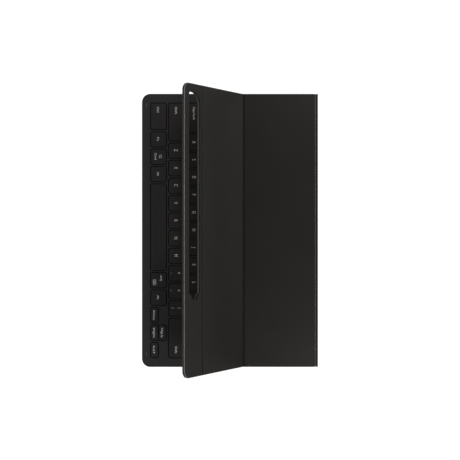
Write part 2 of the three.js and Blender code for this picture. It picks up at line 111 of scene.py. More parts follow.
INK = 0.03
INK_BOLD = 0.01  # how far each stroke is thickened on either side
LETTER_SIZE = 4.8
SIGN_SIZE = 4.6
WORD_SIZE = 2.8
SMALL_WORD_SIZE = 2.5
LETTER_WIDTH = 0.68  # drawn width of a letter or sign, as a share of its natural width
CAP_HEIGHT_OF_TYPE = 0.73  # capitals, as a share of the type size
WORD_MARGIN = 3.5  # from the side of a cap to a word set against it
PRINT_SHIFT = (-0.35, -0.4)  # from the middle of a cap to the middle of its print
SIGN_RISE = (-3.1, 2.8)  # from the middle of the print to the lower and the upper of two signs
ARROW_RADIUS = 1.0
ARROW_AFTER, ARROW_BEFORE = 2.6, -3.5  # from the middle of the print to the arrow after or before its word

SHARP_ANGLE = 40.0  # degrees between two faces, above which the edge between them stays sharp
TIGHTEST = 0.04  # corner radius that an inset outline keeps
EDGE_SLANT = (0.15, 0.99)  # a face whose normal has a cosine between these to the axis is a rounded edge
ROUND_STEPS = 4  # faces round each quarter of a rounded edge
SUPPORT = 0.1  # narrow flat border that keeps the shading of a flat face even
LATHE_STEPS = 24

FLOOR_HALF = 4000.0
FLOOR_THICKNESS = 10.0
FLOOR_GLOW = 0.9
FLOOR_GAP = 0.0001  # metres
FLOOR_CLEARANCE = 0.003  # metres, more than half the cover's thickness
WORLD_LIGHT = 0.19
CAMERA_PLACE = (-0.00038, 0.0004, 0.9575)  # metres
CAMERA_LENS, CAMERA_SENSOR = 79.56, 36.0
CAMERA_CLIP = (0.01, 50.0)  # metres
LAMPS = {  # place in metres, size in metres, power in watts
    "right_softbox": ((0.72, 0.56, 1.6), (0.4, 0.4), 7.2),
    "left_softbox": ((-0.8, 0.45, 1.6), (0.4, 0.4), 4.8),
    "rear_strip": ((-0.1, 2.2, 0.5), (1.2, 0.6), 11.0),
    "rear_left_strip": ((-0.8, 1.9, 0.9), (0.8, 0.6), 9.0),
    "front_softbox": ((0.2, -1.9, 1.5), (1.6, 1.0), 11.0),
    "left_strip": ((-1.8, -0.3, 0.7), (0.8, 0.5), 7.0),
    "right_strip": ((1.8, -0.3, 0.7), (0.8, 0.5), 7.0),
}


def box(node):
    """Lowest and highest corner of a node, in millimetres."""
    low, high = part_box(node)
    return low / MM, high / MM


FOLD = Vector(JOINTS["cover_fold_main"]["pos_m"]) / MM
FLAP_FOLD = Vector(JOINTS["cover_fold_pen_flap"]["pos_m"]) / MM
LOWER_HINGE = Vector(JOINTS["cover_spine_lower"]["pos_m"]) / MM
UPPER_HINGE = Vector(JOINTS["cover_spine_upper"]["pos_m"]) / MM
FOLD_ANGLE = math.radians(JOINTS["cover_fold_main"]["range_deg"][1])

# Panels are drawn flat, with the main fold's axis on X through the origin, the rear panel on +y and the
# front panel on -y, and are then put in place.
FLAT = Matrix.Translation(FOLD * MM)
RAISED = FLAT @ Matrix.Rotation(-FOLD_ANGLE, 4, "X")


def flat_box(node, place):
    """Lowest and highest corner of a node in a panel's own flat frame, in millimetres."""
    back = place.inverted()
    corners = [back @ vertex.co / MM for vertex in frame["nodes"][node].data.vertices]
    low = Vector([min(corner[k] for corner in corners) for k in range(3)])
    high = Vector([max(corner[k] for corner in corners) for k in range(3)])
    return low, high


# ---------------------------------------------------------------- outlines

def arc(cx, cy, radius, start, end, steps):
    """Points on an arc in degrees, both ends included."""
    turns = [math.radians(start + (end - start) * i / steps) for i in range(steps + 1)]
    return [(cx + radius * math.cos(a), cy + radius * math.sin(a)) for a in turns]


def rounded(x0, y0, x1, y1, radii, steps=8):
    """Function that gives a rectangle's rounded outline at any inset, anticlockwise from the front left."""
    def at(inset=0.0):
        a, b, c, d = [max(radius - inset, TIGHTEST) for radius in radii]
        left, front, right, rear = x0 + inset, y0 + inset, x1 - inset, y1 - inset
        return [
            *arc(left + a, front + a, a, 180, 270, steps),
            *arc(right - b, front + b, b, 270, 360, steps),
            *arc(right - c, rear - c, c, 0, 90, steps),
            *arc(left + d, rear - d, d, 90, 180, steps),
        ]
    return at


def slot_outline(inset=0.0):
    """The long opening near the cover's free edge, with its nib-shaped end."""
    near, far = -SLOT["inner"] - inset, -SLOT["outer"] + inset
    start, tip = SLOT["start"] + inset, SLOT["tip"] - inset
    throat = SLOT["throat"] - inset / 2
    r_near, r_far = SLOT["start_radius_inner"] - inset, SLOT["start_radius_outer"] - inset
    throat_inset, tip_inset = SLOT["throat_inset"], SLOT["tip_inset"]
    return [
        *arc(start + r_far, far + r_far, r_far, 180, 270, 10),
        (SLOT["shoulder"], far), (throat, far + throat_inset), (tip, far + tip_inset),
        (tip, near - tip_inset), (throat, near - throat_inset), (SLOT["shoulder"], near),
        *arc(start + r_near, near - r_near, r_near, 90, 180, 16),
    ]


# ---------------------------------------------------------------- shells: points and faces

def loft(rings, looped=False):
    """Shell through rings of equal point counts, capped at both ends or joined into a loop."""
    count = len(rings[0])
    points = [point for ring in rings for point in ring]
    faces = []
    for r in range(len(rings) - (0 if looped else 1)):
        here, there = r * count, (r + 1) % len(rings) * count
        for k in range(count):
            q = (k + 1) % count
            faces.append([here + k, here + q, there + q, there + k])
    if not looped:
        faces.append(list(range(count))[::-1])
        faces.append([(len(rings) - 1) * count + k for k in range(count)])
    return points, faces


def lifted(outline, z):
    return [(x, y, z) for x, y in outline]


def stack(at, levels, looped=False):
    """Shell through an outline at a list of (inset, height) levels."""
    return loft([lifted(at(inset), z) for inset, z in levels], looped)


def prism(at, z0, z1):
    return stack(at, [(0, z0), (0, z1)])


def quarter_round(radius):
    """(inset, depth) points round a rounded edge, from the side to the face."""
    turns = [math.pi / 2 * i / ROUND_STEPS for i in range(ROUND_STEPS + 1)]
    return [(radius * (1 - math.cos(a)), radius * (1 - math.sin(a))) for a in turns]


def edge_levels(z0, z1, under, over):
    """(inset, height) levels round the side of a plate with rounded edges, from underside to top."""
    levels = []
    if under:
        levels.append((under + SUPPORT, z0))
        levels += [(inset, z0 + depth) for depth, inset in quarter_round(under)]
    else:
        levels.append((0, z0))
    if over:
        levels += [(inset, z1 - depth) for inset, depth in quarter_round(over)]
        levels.append((over + SUPPORT, z1))
    else:
        levels.append((0, z1))
    return levels


def plate(at, z0, z1, under=0.0, over=0.0):
    return stack(at, edge_levels(z0, z1, under, over))


def lathe(cx, cy, profile):
    """Solid of revolution about a vertical line, from a (radius, height) profile."""
    end = 360 - 360 / LATHE_STEPS
    return loft([lifted(arc(cx, cy, radius, 0, end, LATHE_STEPS - 1), z) for radius, z in profile])


def ribbon(stations, half, over, under):
    """Strip across the case through (outer point, inner point) stations, each a (y, z) pair.

    Its two ends at x = -half and +half are rounded by over on the outer side and by under on the inner side.
    A line of points runs along the inner side, at the cover's rim from each end.
    """
    outer_end = [*quarter_round(over), (over + SUPPORT, 0)]
    inner_end = [*quarter_round(under), (COVER_RIM, 0)]
    section = [(half - x, 1, depth) for x, depth in outer_end]
    section += [(-half + x, 1, depth) for x, depth in reversed(outer_end)]
    section += [(-half + x, 0, depth) for x, depth in inner_end]
    section += [(half - x, 0, depth) for x, depth in reversed(inner_end)]
    rings = []
    for outer, inner in stations:
        outer, inner = Vector(outer), Vector(inner)
        thickness = (outer - inner).length
        ring = []
        for x, side, depth in section:
            share = side - depth / thickness if side else depth / thickness
            y, z = inner.lerp(outer, share)
            ring.append((x, y, z))
        rings.append(ring)
    return loft(rings)


# ---------------------------------------------------------------- pieces

def add(name, data):
    """A new object in the scene."""
    made = bpy.data.objects.new(name, data)
    bpy.context.scene.collection.objects.link(made)
    return made


def make(name, shells, material):
    """A mesh object from closed shells."""
    points, faces = [], []
    for shell_points, shell_faces in shells:
        start = len(points)
        points += [Vector(point) * MM for point in shell_points]
        faces += [[start + i for i in face] for face in shell_faces]
    mesh = bpy.data.meshes.new(name)
    mesh.from_pydata(points, [], faces)
    mesh.materials.append(material)
    piece = add(name, mesh)
    finish_mesh(piece)
    return piece


def finish_mesh(piece):
    mesh = piece.data
    mesh.validate()
    mesh.shade_smooth()
    mesh.set_sharp_from_angle(angle=math.radians(SHARP_ANGLE))


def carve(piece, *cutters):
    """Cuts each set of closed shells out of the piece."""
    blocks = []
    for shells in cutters:
        block = make("cutter", shells, piece.data.materials[0])
        cut = piece.modifiers.new("cut", "BOOLEAN")
        cut.operation = "DIFFERENCE"
        cut.solver = "MANIFOLD"
        cut.object = block
        blocks.append(block)
    carved = bpy.data.meshes.new_from_object(piece.evaluated_get(bpy.context.evaluated_depsgraph_get()))
    piece.modifiers.clear()
    piece.data = carved
    while len(carved.materials) > 1:
        carved.materials.pop()
    for block in blocks:
        bpy.data.objects.remove(block)
    finish_mesh(piece)
    return piece


def mark_edges(piece, across=(0, 0, 1), rim_highlight_and_wear=1.0):
    """Marks the rounded edges, for the painted highlight that the materials put on them: faces that neither
    face along the given axis nor lie along it.
    """
    mesh = piece.data
    axis = Vector(across)
    level, square = EDGE_SLANT
    edge = mesh.attributes.new("edge", "FLOAT", "FACE")
    slants = [abs(polygon.normal.dot(axis)) for polygon in mesh.polygons]
    edge.data.foreach_set("value", [rim_highlight_and_wear if level < slant < square else 0.0 for slant in slants])
    return piece


def mark_painted_shade(piece, depth, chosen):
    """Marks faces with painted shade, as dark as depth, or as plain if it is 0.

    chosen says which faces, and gets a face's middle, in millimetres, and its normal.
    """
    edge = piece.data.attributes["edge"]
    for polygon in piece.data.polygons:
        if chosen(polygon.center / MM, polygon.normal):
            edge.data[polygon.index].value = -depth
    return piece


def stand_in(piece, node, body):
    """Shows a finished piece in place of a CAD node, riding on a body."""
    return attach(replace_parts(piece, node), body)


def put(piece, place, body):
    """Moves a panel's piece from the flat frame to its place on the case, and lets it ride."""
    piece.data.transform(place)
    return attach(piece, body)


# ---------------------------------------------------------------- materials

class Look:
    """A procedural material. Sizes of its patterns are in millimetres."""

    def __init__(self, name):
        self.material = bpy.data.materials.new(name)
        self.material.use_nodes = True
        self.tree = self.material.node_tree
        self.surface = self.tree.nodes["Principled BSDF"]
        self.place = self.node("TexCoord").outputs["Object"]

    def node(self, kind, inputs=(), **settings):
        made = self.tree.nodes.new("ShaderNode" + kind)
        for key, value in settings.items():
            setattr(made, key, value)
        for key, value in dict(inputs).items():
            self.set(made.inputs[key], value)
        return made

    def set(self, socket, value):
        if isinstance(value, bpy.types.NodeSocket):
            self.tree.links.new(value, socket)
        else:
            socket.default_value = value

    def finish(self, **inputs):
        for key, value in inputs.items():
            self.set(self.surface.inputs[key.replace("_", " ")], value)
        return self.material

    def stretched(self, x, y, z):
        return self.node("Mapping", {"Vector": self.place, "Scale": (x, y, z)}).outputs["Vector"]

    def noise(self, size, detail=2.0, place=None):
        inputs = {"Vector": place or self.place, "Scale": 1 / (size * MM), "Detail": detail}
        return self.node("TexNoise", inputs).outputs["Fac"]

    def cells(self, size, feature="F1"):
        inputs = {"Vector": self.place, "Scale": 1 / (size * MM)}
        return self.node("TexVoronoi", inputs, feature=feature).outputs["Distance"]

    def scale(self, value, low, high, from_low=0.3, from_high=0.7):
        inputs = {"Value": value, "From Min": from_low, "From Max": from_high, "To Min": low, "To Max": high}
        return self.node("MapRange", inputs).outputs["Result"]

    def mix(self, share, a, b):
        made = self.node("Mix", data_type="RGBA")
        for socket, value in zip((made.inputs[0], made.inputs[6], made.inputs[7]), (share, a, b)):
            self.set(socket, value)
        return made.outputs[2]

    def clouds(self, size, detail, a, b):
        """A colour that drifts between two."""
        return self.mix(self.scale(self.noise(size, detail), 0, 1), rgba(*a), rgba(*b))

    def math(self, operation, a, b):
        made = self.node("Math", operation=operation)
        self.set(made.inputs[0], a)
        self.set(made.inputs[1], b)
        return made.outputs[0]

    def bump(self, height, depth, strength=1.0, normal=None):
        inputs = {"Height": height, "Distance": depth * MM, "Strength": strength}
        if normal:
            inputs["Normal"] = normal
        return self.node("Bump", inputs).outputs["Normal"]

    def edge(self):
        return self.node("Attribute", attribute_name="edge").outputs["Fac"]


def rgba(*colour):
    return (*colour, 1.0)


def outer_leather():
    """Fine-grained black leather, with a painted highlight on its rims, partly edge wear, and painted shade
    in its grooves.
    """
    look = Look("outer_leather")
    base = look.clouds(30, 2, (0.0128, 0.0108, 0.0090), (0.0137, 0.0115, 0.0096))
    pores = look.scale(look.cells(0.55), 0, 1, 0.05, 0.5)
    base = look.mix(look.math("MULTIPLY", pores, 0.3), rgba(0.0096, 0.0082, 0.0068), base)
    # Painted highlight on the rims, partly edge wear: paler colour where the edge mark is above 0.
    rim = look.math("MAXIMUM", look.edge(), 0.0)
    highlight_and_wear = look.math("MULTIPLY", rim, look.scale(look.noise(3.5, 2), 0.8, 1.0))
    # Painted shade in the grooves, where the edge mark is below 0.
    groove = look.math("MAXIMUM", look.math("MULTIPLY", look.edge(), -1.0), 0.0)
    colour = look.mix(highlight_and_wear, base, rgba(0.15, 0.145, 0.144))
    colour = look.mix(groove, colour, rgba(0.003, 0.003, 0.003))
    rubbed = look.math("MULTIPLY", highlight_and_wear, 0.12)
    roughness = look.math("SUBTRACT", look.scale(look.noise(30, 2), 0.31, 0.33), rubbed)
    shine = look.math("MULTIPLY", look.math("SUBTRACT", 1.0, groove), 0.3)
    fine = look.bump(look.noise(0.16, 2), 0.008, 0.5)
    grain = look.bump(look.cells(0.55, "SMOOTH_F1"), 0.02, 0.5, fine)
    return look.finish(Base_Color=colour, Roughness=roughness, Normal=grain, Specular_IOR_Level=shine)


def cover_lining():
    look = Look("cover_lining")
    nap = look.noise(7, 4, look.stretched(1, 0.35, 1))
    base = look.mix(look.scale(nap, 0, 1), rgba(0.020, 0.020, 0.022), rgba(0.034, 0.034, 0.037))
    fibre = look.noise(0.22, 3, look.stretched(1, 0.4, 1))
    colour = look.mix(look.scale(fibre, 0, 0.5), base, rgba(0.045, 0.045, 0.048))
    pile = look.bump(fibre, 0.05, 0.8)
    return look.finish(Base_Color=colour, Roughness=0.95, Normal=pile, Specular_IOR_Level=0.1,
                       Sheen_Weight=0.35, Sheen_Roughness=0.5)


def moulded(name, dark, light, edge, roughness, shine=0.3):
    """Matte moulded plastic with a fine spark-eroded grain and a painted highlight on its rounded edges."""
    look = Look(name)
    grain = 0.14
    base = look.clouds(14, 3, dark, light)
    speck = look.scale(look.noise(grain * 1.6, 1), 0, 0.25)
    base = look.mix(speck, base, rgba(*[channel * 1.6 for channel in light]))
    # Painted highlight on the rounded edges.
    colour = look.mix(look.math("MULTIPLY", look.edge(), 0.7), base, rgba(*edge))
    texture = look.bump(look.noise(grain, 2), 0.012, 0.7)
    rough = look.scale(look.noise(5, 2), roughness - 0.04, roughness + 0.05)
    return look.finish(Base_Color=colour, Roughness=rough, Normal=texture, Specular_IOR_Level=shine)


def printed_ink():
    look = Look("legend_ink")
    colour = look.clouds(0.8, 3, (0.52, 0.52, 0.52), (0.61, 0.61, 0.61))
    return look.finish(Base_Color=colour, Roughness=0.6, Normal=look.bump(look.noise(0.1, 1), 0.004))


def fibre_board():
    look = Look("stiffener_board")
    weave = look.noise(1.2, 4, look.stretched(1, 3, 1))
    colour = look.mix(look.scale(weave, 0, 1), rgba(0.20, 0.20, 0.17), rgba(0.30, 0.30, 0.26))
    return look.finish(Base_Color=colour, Roughness=0.8, Normal=look.bump(weave, 0.03))


def drawn_steel(name, low, high):
    look = Look(name)
    streaks = look.noise(0.5, 3, look.stretched(0.02, 1, 1))
    colour = look.mix(look.scale(streaks, 0, 1), rgba(*low), rgba(*high))
    roughness = look.scale(streaks, 0.28, 0.42)
    return look.finish(Base_Color=colour, Roughness=roughness, Metallic=1.0, Normal=look.bump(streaks, 0.004))


def circuit_film():
    look = Look("circuit_film")
    inputs = {"Vector": look.place, "Scale": 160.0, "Distortion": 3.0}
    wave = look.node("TexWave", inputs, bands_direction="Y")
    traces = look.scale(wave.outputs["Fac"], 0, 1, 0.82, 0.9)
    colour = look.mix(traces, rgba(0.030, 0.034, 0.032), rgba(0.20, 0.20, 0.19))
    return look.finish(Base_Color=colour, Roughness=look.scale(traces, 0.35, 0.5, 0, 1))


def black_silicone():
    look = Look("dome_silicone")
    colour = look.clouds(4, 3, (0.006, 0.006, 0.006), (0.010, 0.010, 0.010))
    return look.finish(Base_Color=colour, Roughness=0.75, Normal=look.bump(look.noise(0.3, 2), 0.01))


def circuit_board(top):
    """Green solder mask with paler traces, and dark parts above the board's own top."""
    look = Look("circuit_board")
    brick = look.node("TexBrick", {
        "Vector": look.place, "Scale": 260.0, "Mortar Size": 0.06,
        "Color1": rgba(0.010, 0.085, 0.035), "Color2": rgba(0.013, 0.105, 0.043),
        "Mortar": rgba(0.03, 0.19, 0.08),
    })
    height = look.node("SeparateXYZ", {"Vector": look.place}).outputs["Z"]
    above = look.math("GREATER_THAN", height, top * MM)
    colour = look.mix(above, brick.outputs["Color"], rgba(0.014, 0.014, 0.015))
    return look.finish(Base_Color=colour, Roughness=look.scale(above, 0.35, 0.55, 0, 1),
                       Normal=look.bump(look.noise(0.4, 2), 0.008))


def plated(name, low, high, roughness):
    look = Look(name)
    tint = look.scale(look.noise(1.1, 3), 0, 1)
    colour = look.mix(tint, rgba(*low), rgba(*high))
    rough = look.scale(tint, roughness, roughness + 0.1, 0, 1)
    grain = look.bump(look.noise(0.15, 2), 0.002)
    return look.finish(Base_Color=colour, Metallic=1.0, Roughness=rough, Normal=grain)


def bumper_rubber():
    look = Look("bumper_rubber")
    colour = look.clouds(0.7, 3, (0.036, 0.036, 0.037), (0.052, 0.052, 0.053))
    return look.finish(Base_Color=colour, Roughness=0.8, Normal=look.bump(look.noise(0.2, 2), 0.01))


LEATHER = outer_leather()
SUEDE = cover_lining()
# The third colour of each plastic is the painted highlight on its rounded edges.
DECK = moulded(
    "deck_plastic", (0.0147, 0.0140, 0.0141), (0.0159, 0.0152, 0.0153), (0.026, 0.025, 0.026),
    roughness=0.60, shine=0.26)
KEYCAP = moulded(
    "keycap_plastic", (0.0150, 0.0138, 0.0131), (0.0162, 0.0149, 0.0141), (0.0190, 0.0178, 0.0170),
    roughness=0.55, shine=0.18)
# The collar's rounded edge gets a strong painted highlight.
COLLAR = moulded(
    "collar_plastic", (0.024, 0.0235, 0.024), (0.028, 0.0275, 0.028), (0.092, 0.089, 0.088), roughness=0.4)
HOUSING = moulded(
    "connector_plastic", (0.0080, 0.0080, 0.0085), (0.0100, 0.0100, 0.0105), (0.02, 0.02, 0.02),
    roughness=0.4)
INK_LOOK = printed_ink()
GOLD = plated("contact_gold", (0.58, 0.37, 0.09), (0.70, 0.46, 0.13), 0.22)
RUBBER = bumper_rubber()

# ---------------------------------------------------------------- keyboard


def keyboard_shells():
    low, high = box("keyboard_deck")
    radii = [FRONT_CORNER_RADIUS] * 2 + [REAR_CORNER_RADIUS] * 2
    outline = rounded(low.x, low.y, high.x, high.y, radii, steps=14)
    deck = make("deck", [plate(outline, low.z, high.z, over=SOFT_EDGE)], DECK)
    cavity = stack(outline, [(DECK_WALL, low.z - 1), (DECK_WALL, high.z - DECK_PLATE)])
    carve(deck, [cavity], [opening_cutter(opening, high.z) for opening in openings()])
    stand_in(mark_edges(deck), "keyboard_deck", "keyboard")

    low, high = box("keyboard_bottom_skin")
    outline = rounded(low.x, low.y, high.x, high.y, radii, steps=14)
    skin = make("underside_skin", [plate(outline, low.z, high.z, under=SOFT_EDGE)], LEATHER)
    stand_in(mark_edges(skin), "keyboard_bottom_skin", "keyboard")


def opening_cutter(at, top):
    """Cutter for one opening of the deck, flared where it leaves a chamfer."""
    below, above = 0.4, 1.0
    flare = (-OPENING_CHAMFER - above, top + above)
    return stack(at, [(0, top - DECK_PLATE - below), (0, top - OPENING_CHAMFER), flare])


def round_ended(name, node, short, over, material):
    """Plate in a CAD node's place, its ends half round but for short."""
    low, high = box(node)
    end = (high.y - low.y) / 2 - short
    outline = rounded(low.x, low.y, high.x, high.y, [end] * 4)
    piece = make(name, [plate(outline, low.z, high.z, over=over)], material)
    stand_in(mark_edges(piece), node, "keyboard")


def dock():
    round_ended("dock_ridge_bar", "dock_ridge", 0.05, 0.25, DECK)

    low, high = box("pogo_housing")
    outline = rounded(low.x, low.y, high.x, high.y, [1.2] * 4)
    housing = make("contact_housing", [plate(outline, low.z, high.z, over=0.3)], HOUSING)
    bores = []
    for side in ("left", "centre", "right"):
        node = f"pogo_pin_{side}"
        pin_low, pin_high = box(node)
        x, y = (pin_low.x + pin_high.x) / 2, (pin_low.y + pin_high.y) / 2
        radius = (pin_high.x - pin_low.x) / 2
        bores.append(lathe(x, y, [(radius + PIN_PLAY, low.z - 1), (radius + PIN_PLAY, high.z + 1)]))
        turns = [math.pi / 2 * i / 6 for i in range(6)]
        tip = [(radius * math.cos(a), pin_high.z - radius * (1 - math.sin(a))) for a in turns]
        profile = [(radius, pin_low.z), *tip, (0.02, pin_high.z)]
        stand_in(make(f"contact_{side}", [lathe(x, y, profile)], GOLD), node, node)
    carve(housing, bores)
    stand_in(mark_edges(housing), "pogo_housing", "keyboard")

    for side in ("left", "right"):
        round_ended(f"bumper_pad_{side}", f"bumper_{side}", 0.02, 0.2, RUBBER)


# ---------------------------------------------------------------- keys and their print

def word(text, width, align="CENTER", shift=0.0, rise=0.0, size=WORD_SIZE):
    """One line of print: text, type size, drawn width, alignment, and place from the middle of the cap."""
    return [(text, size, width, align, shift, rise)]


def letter(text):
    return word(text, None, size=LETTER_SIZE)


def signs(lower, upper):
    """Two signs on one key, the shifted one behind."""
    return [(text, SIGN_SIZE, None, "CENTER", 0.0, rise) for text, rise in zip((lower, upper), SIGN_RISE)]


def letter_keys(text):
    return [(1, letter(character)) for character in text]


def arrow_word(text, width, shift):
    return word(text, width, shift=shift, size=SMALL_WORD_SIZE)


# The two front rows have a body for each key.
FRONT_KEYS = {
    "ctrl": word("Ctrl", 4.9, "LEFT"), "fn": word("Fn", 3.4), "cmd": word("Cmd", 6.2, rise=-2.2),
    "alt_left": word("Alt", 3.7), "space": [], "lang": word("Lang", 6.4, shift=-2.2, rise=3.2),
    "alt_right": word("Alt", 3.7),
    "arrow_left": arrow_word("Home", 7.0, 1.4), "arrow_down": arrow_word("PgDn", 7.0, 1.4),
    "arrow_up": arrow_word("PgUp", 7.0, 1.4), "arrow_right": arrow_word("End", 4.5, -1.3),
    "shift_left": word("Shift", 6.6, "LEFT"), "shift_right": word("Shift", 6.6, "RIGHT", shift=-0.5),
    **{key: letter(key.upper()) for key in "zxcvbnm"},
    "comma": signs(",", "<"), "period": signs(".", ">"), "slash": signs("/", "?"),
}

# In the rows behind, the whole row is one body. Each key is its width in key units and its print.
REAR_ROWS = {
    "keys_home_row": [
        (1.815, word("Caps Lock", 12.0, "LEFT")), *letter_keys("ASDFGHJKL"),
        (1, signs(";", ":")), (1, signs("'", '"')), (1.833, word("Enter", 6.8, "RIGHT")),
    ],
    "keys_upper_row": [
        (1.4, word("Tab", 4.4, "LEFT")), *letter_keys("QWERTYUIOP"),
        (1, signs("[", "{")), (1, signs("]", "}")), (1.248, signs("\\", "|")),
    ],
    "keys_number_row": [
        *[(1, signs(lower, upper)) for lower, upper in zip("`1234567890-=", "~!@#$%^&*()_+")],
        (1.648, word("Backspace", 12.4, "RIGHT")),
    ],
    "keys_function_row": [
        (1, word(text, width)) for text, width in
        [("Esc", 4.4), *[(f"F{i}", 2.8 if i < 10 else 3.9) for i in range(1, 13)], ("Del", 4.2)]
    ],
}
HOMING_KEYS = ("F", "J")


class Cap:
    """One keycap's rectangle, its height and its print."""

    def __init__(self, x0, y0, x1, y1, bottom, top, print_, radii=(CAP_RADIUS,) * 4):
        self.x0, self.y0, self.x1, self.y1 = x0, y0, x1, y1
        self.bottom, self.top = bottom, top
        self.print = print_
        self.radii = list(radii)
        self.middle_x = (x0 + x1) / 2 + PRINT_SHIFT[0]
        self.middle_y = (y0 + y1) / 2 + PRINT_SHIFT[1]

    def grown(self, by, radii):
        return rounded(self.x0 - by, self.y0 - by, self.x1 + by, self.y1 + by, radii, steps=6)

    def opening(self):
        return self.grown(GAP, [CAP_RADIUS + GAP] * 4)

    def shell(self):
        """Thin-walled cap with a rounded edge and a slight dish."""
        half = (self.y1 - self.y0) / 2 - CAP_PLAY
        wall = min(CAP_WALL, half - DOME_ROOM)
        side = edge_levels(self.bottom, self.top, 0, CAP_ROUND)
        under = [(wall, self.top - CAP_TOP_WALL), (wall, self.bottom)]
        dish = [(half * 0.35, self.top - CAP_DISH * 0.6), (half * 0.65, self.top - CAP_DISH)]
        return stack(self.grown(-CAP_PLAY, self.radii), under + side + dish)


def front_cap(key):
    low, high = box(f"key_{key}")
    sharp, soft = CAP_SPLIT_RADIUS, CAP_RADIUS
    radii = {"arrow_down": (soft, soft, sharp, sharp), "arrow_up": (sharp, sharp, soft, soft)}
    return Cap(low.x, low.y, high.x, high.y, low.z, high.z, FRONT_KEYS[key], radii.get(key, (soft,) * 4))


def row_caps(node):
    """Caps of a row that is one body, spaced by their widths in key units."""
    low, high = box(node)
    keys = REAR_ROWS[node]
    web = 2 * GAP + ROW_WEB
    unit = (high.x - low.x + web) / sum(units for units, _ in keys)
    caps = []
    x = low.x
    for units, print_ in keys:
        caps.append(Cap(x, low.y, x + units * unit - web, high.y, low.z, high.z, print_))
        x += units * unit
    return caps


ROW_WEB = box("key_x")[0].x - box("key_z")[1].x - 2 * GAP  # deck between two openings
FRONT_CAPS = {key: front_cap(key) for key in FRONT_KEYS}
REAR_CAPS = {node: row_caps(node) for node in REAR_ROWS}


def openings():
    """The outline of every opening in the deck. The up and down arrows share one."""
    found = [cap.opening() for key, cap in FRONT_CAPS.items() if key not in ("arrow_up", "arrow_down")]
    down, up = FRONT_CAPS["arrow_down"], FRONT_CAPS["arrow_up"]
    found.append(Cap(down.x0, down.y0, up.x1, up.y1, down.bottom, down.top, []).opening())
    found += [cap.opening() for caps in REAR_CAPS.values() for cap in caps]
    low, high = box("pogo_housing")
    play = HOUSING_PLAY
    found.append(rounded(low.x - play, low.y - play, high.x + play, high.y + play, [1.5] * 4))
    return found


def type_shell(text, size, width, align):
    """A word as a thin shell standing on z = 0, with its baseline on y = 0, set to its drawn width."""
    curve = bpy.data.curves.new("type", "FONT")
    curve.body = text
    curve.size = size
    curve.extrude = INK
    curve.offset = INK_BOLD
    curve.resolution_u = 3
    holder = add("type", curve)
    mesh = bpy.data.meshes.new_from_object(holder)
    low = min(vertex.co.x for vertex in mesh.vertices)
    high = max(vertex.co.x for vertex in mesh.vertices)
    stretch = width / (high - low) if width else LETTER_WIDTH
    start = {"LEFT": low, "CENTER": (low + high) / 2, "RIGHT": high}[align]
    points = [((vertex.co.x - start) * stretch, vertex.co.y, vertex.co.z) for vertex in mesh.vertices]
    faces = [list(polygon.vertices) for polygon in mesh.polygons]
    bpy.data.objects.remove(holder)
    bpy.data.curves.remove(curve)
    bpy.data.meshes.remove(mesh)
    return points, faces


def moved(shell, x, y, z):
    points, faces = shell
    return [(px + x, py + y, pz + z) for px, py, pz in points], faces


def print_shells(cap):
    """The print on one cap, as shells sunk slightly in its top."""
    shells = []
    for text, size, width, align, shift, rise in cap.print:
        sides = {"CENTER": cap.middle_x, "LEFT": cap.x0 + WORD_MARGIN, "RIGHT": cap.x1 - WORD_MARGIN}
        x = sides[align] + shift
        y = cap.middle_y + rise - size * CAP_HEIGHT_OF_TYPE / 2
        shells.append(moved(type_shell(text, size, width, align), x, y, cap.top - CAP_DISH))
    return shells


def flat_shape(outline, z):
    return loft([lifted(outline, z - INK), lifted(outline, z + INK)])


def flat_ring(outer, inner, z):
    low, high = z - INK, z + INK
    rings = [lifted(outer, low), lifted(outer, high), lifted(inner, high), lifted(inner, low)]
    return loft(rings, looped=True)


def arrow_shell(cap, direction):
    """Small triangle beside the word on an arrow key. direction is in degrees, with 0 along +X."""
    x = cap.middle_x + (ARROW_AFTER if direction == 0 else ARROW_BEFORE)
    return flat_shape(arc(x, cap.middle_y, ARROW_RADIUS, direction, direction + 240, 2), cap.top - CAP_DISH)


def finder_shells(cap):
    """A small magnifying glass behind the word on the command key."""
    x, y, z = cap.middle_x, cap.middle_y + 2.3, cap.top - CAP_DISH
    lens = flat_ring(arc(x, y, 1.25, 0, 345, 23), arc(x, y, 0.95, 0, 345, 23), z)
    handle = [(x + 0.8, y - 1.0), (x + 1.0, y - 0.8), (x + 1.7, y - 1.5), (x + 1.5, y - 1.7)]
    return [lens, flat_shape(handle[::-1], z)]


def board_shells(cap):
    """A small keyboard sign in front of the word on the language key."""
    x, y, z = cap.middle_x + 2.3, cap.middle_y - 3.3, cap.top - CAP_DISH
    frame_at = rounded(x - 2.5, y - 1.4, x + 2.5, y + 1.4, [0.5] * 4, steps=3)
    shells = [flat_ring(frame_at(0), frame_at(0.3), z)]
    key_row = [(-1.4, 0.45, 0.3), (-0.45, 0.45, 0.3), (0.5, 0.45, 0.3), (1.45, 0.45, 0.3)]
    for dx, dy, half in [*key_row, (0, -0.5, 1.3)]:
        at = rounded(x + dx - half, y + dy - 0.25, x + dx + half, y + dy + 0.25, [0.05] * 4, 2)
        shells.append(flat_shape(at(), z))
    return shells


EXTRA_PRINT = {
    "cmd": finder_shells,
    "lang": board_shells,
    "arrow_left": lambda cap: [arrow_shell(cap, 180)],
    "arrow_right": lambda cap: [arrow_shell(cap, 0)],
    "arrow_up": lambda cap: [arrow_shell(cap, 90)],
    "arrow_down": lambda cap: [arrow_shell(cap, 270)],
}


def homing_bar(cap):
    x, y = (cap.x0 + cap.x1) / 2, cap.y0 + 2.6
    at = rounded(x - 1.8, y - 0.3, x + 1.8, y + 0.3, [0.28] * 4)
    return plate(at, cap.top - 0.1, cap.top + 0.12, over=0.15)


